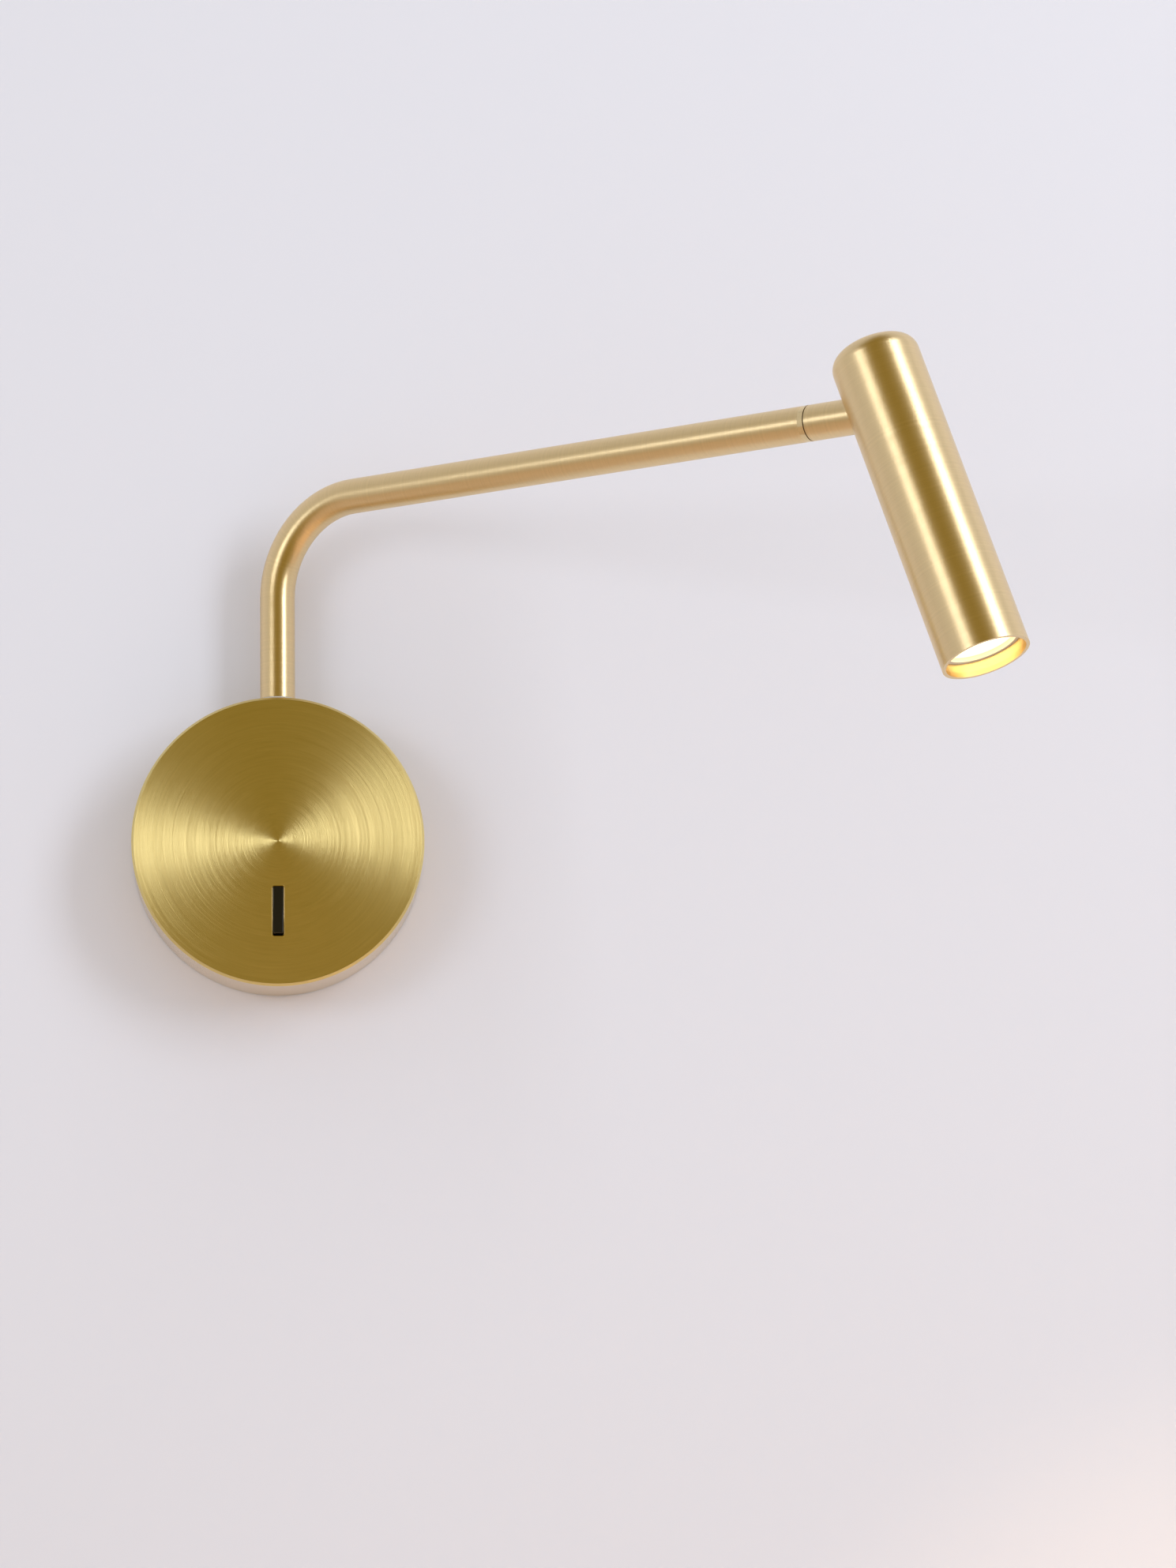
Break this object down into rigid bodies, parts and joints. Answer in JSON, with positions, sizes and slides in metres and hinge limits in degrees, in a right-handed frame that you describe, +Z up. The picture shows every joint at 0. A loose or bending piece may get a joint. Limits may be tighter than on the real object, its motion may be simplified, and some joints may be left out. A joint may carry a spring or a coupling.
{
  "type": "bedside wall reading lamp",
  "caption": "Wall lamp with a shallow round canopy, a bent swing arm and a slim cylinder head that swivels and tilts, switched by a rocker in the canopy.",
  "frame": {"origin": "centre of the canopy's back plane, on the wall", "axes": "+Z up, +Y into the wall, -Y the front, +X right as seen from the front"},
  "size_m": [0.2884, 0.1916, 0.1944],
  "materials": {
    "satin_brass": "brushed and lacquered, spun on the canopy's face",
    "plain_brass": "turned, uncoated",
    "zinc_steel": "zinc plated pressing",
    "bright_steel": "bright",
    "white_bearing_plastic": "smooth",
    "black_plastic": "moulded",
    "gloss_black_plastic": "polished",
    "white_plastic": "moulded",
    "foam_tape": "foam",
    "thermal_rubber": "soft",
    "aluminium_bar": "turned",
    "reflector_metal": "bright anodised",
    "board_white": "white solder mask",
    "emitter": "phosphor",
    "frosted_lens": "frosted"
  },
  "bodies": {
    "wall_base": {"canopy_shell": "satin_brass", "wall_bracket": "zinc_steel", "canopy_screws": "bright_steel", "saddle_washer": "satin_brass", "inner_saddle_washer": "bright_steel", "base_nut": "plain_brass", "thrust_washer": "white_bearing_plastic", "base_stud": "plain_brass", "switch_body": "black_plastic", "switch_terminals": "plain_brass", "led_driver": "white_plastic", "driver_tape": "foam_tape", "terminal_block": "white_plastic", "terminal_screws": "bright_steel", "earth_screw": "plain_brass"},
    "arm": {"arm_tube": "satin_brass", "arm_foot_insert": "satin_brass", "arm_end_insert": "satin_brass", "swing_stop_pin": "bright_steel", "swivel_stop_pin": "bright_steel", "swivel_washer": "black_plastic"},
    "collar": {"swivel_collar": "satin_brass", "swivel_spindle": "plain_brass"},
    "head": {"head_shell": "satin_brass", "tilt_yoke": "aluminium_bar", "tilt_pin": "bright_steel", "tilt_washers": "white_bearing_plastic", "yoke_screws": "bright_steel", "heat_sink": "aluminium_bar", "thermal_pad": "thermal_rubber", "led_board": "board_white", "led_emitter": "emitter", "board_screws": "bright_steel", "reflector": "reflector_metal", "lens": "frosted_lens", "lens_ring": "bright_steel"},
    "rocker": {"rocker": "gloss_black_plastic"}
  },
  "joints": [
    {"name": "arm_swing", "type": "hinge", "parent": "wall_base", "child": "arm", "pos_m": [0, -0.0125, 0.057], "axis": [0, 0, 1], "range_deg": [-138.7, 31.3]},
    {"name": "head_swivel", "type": "hinge", "parent": "arm", "child": "collar", "pos_m": [0.17384, -0.1402, 0.119], "axis": [0.8059, -0.592, 0], "range_deg": [-165, 165]},
    {"name": "head_tilt", "type": "hinge", "parent": "collar", "child": "head", "pos_m": [0.19874, -0.15849, 0.119], "axis": [-0.592, -0.8059, 0], "range_deg": [-40.4, 9.6]},
    {"name": "rocker_tilt", "type": "hinge", "parent": "wall_base", "child": "rocker", "pos_m": [0, -0.0226, -0.0242], "axis": [1, 0, 0], "range_deg": [0, 14]}
  ]
}
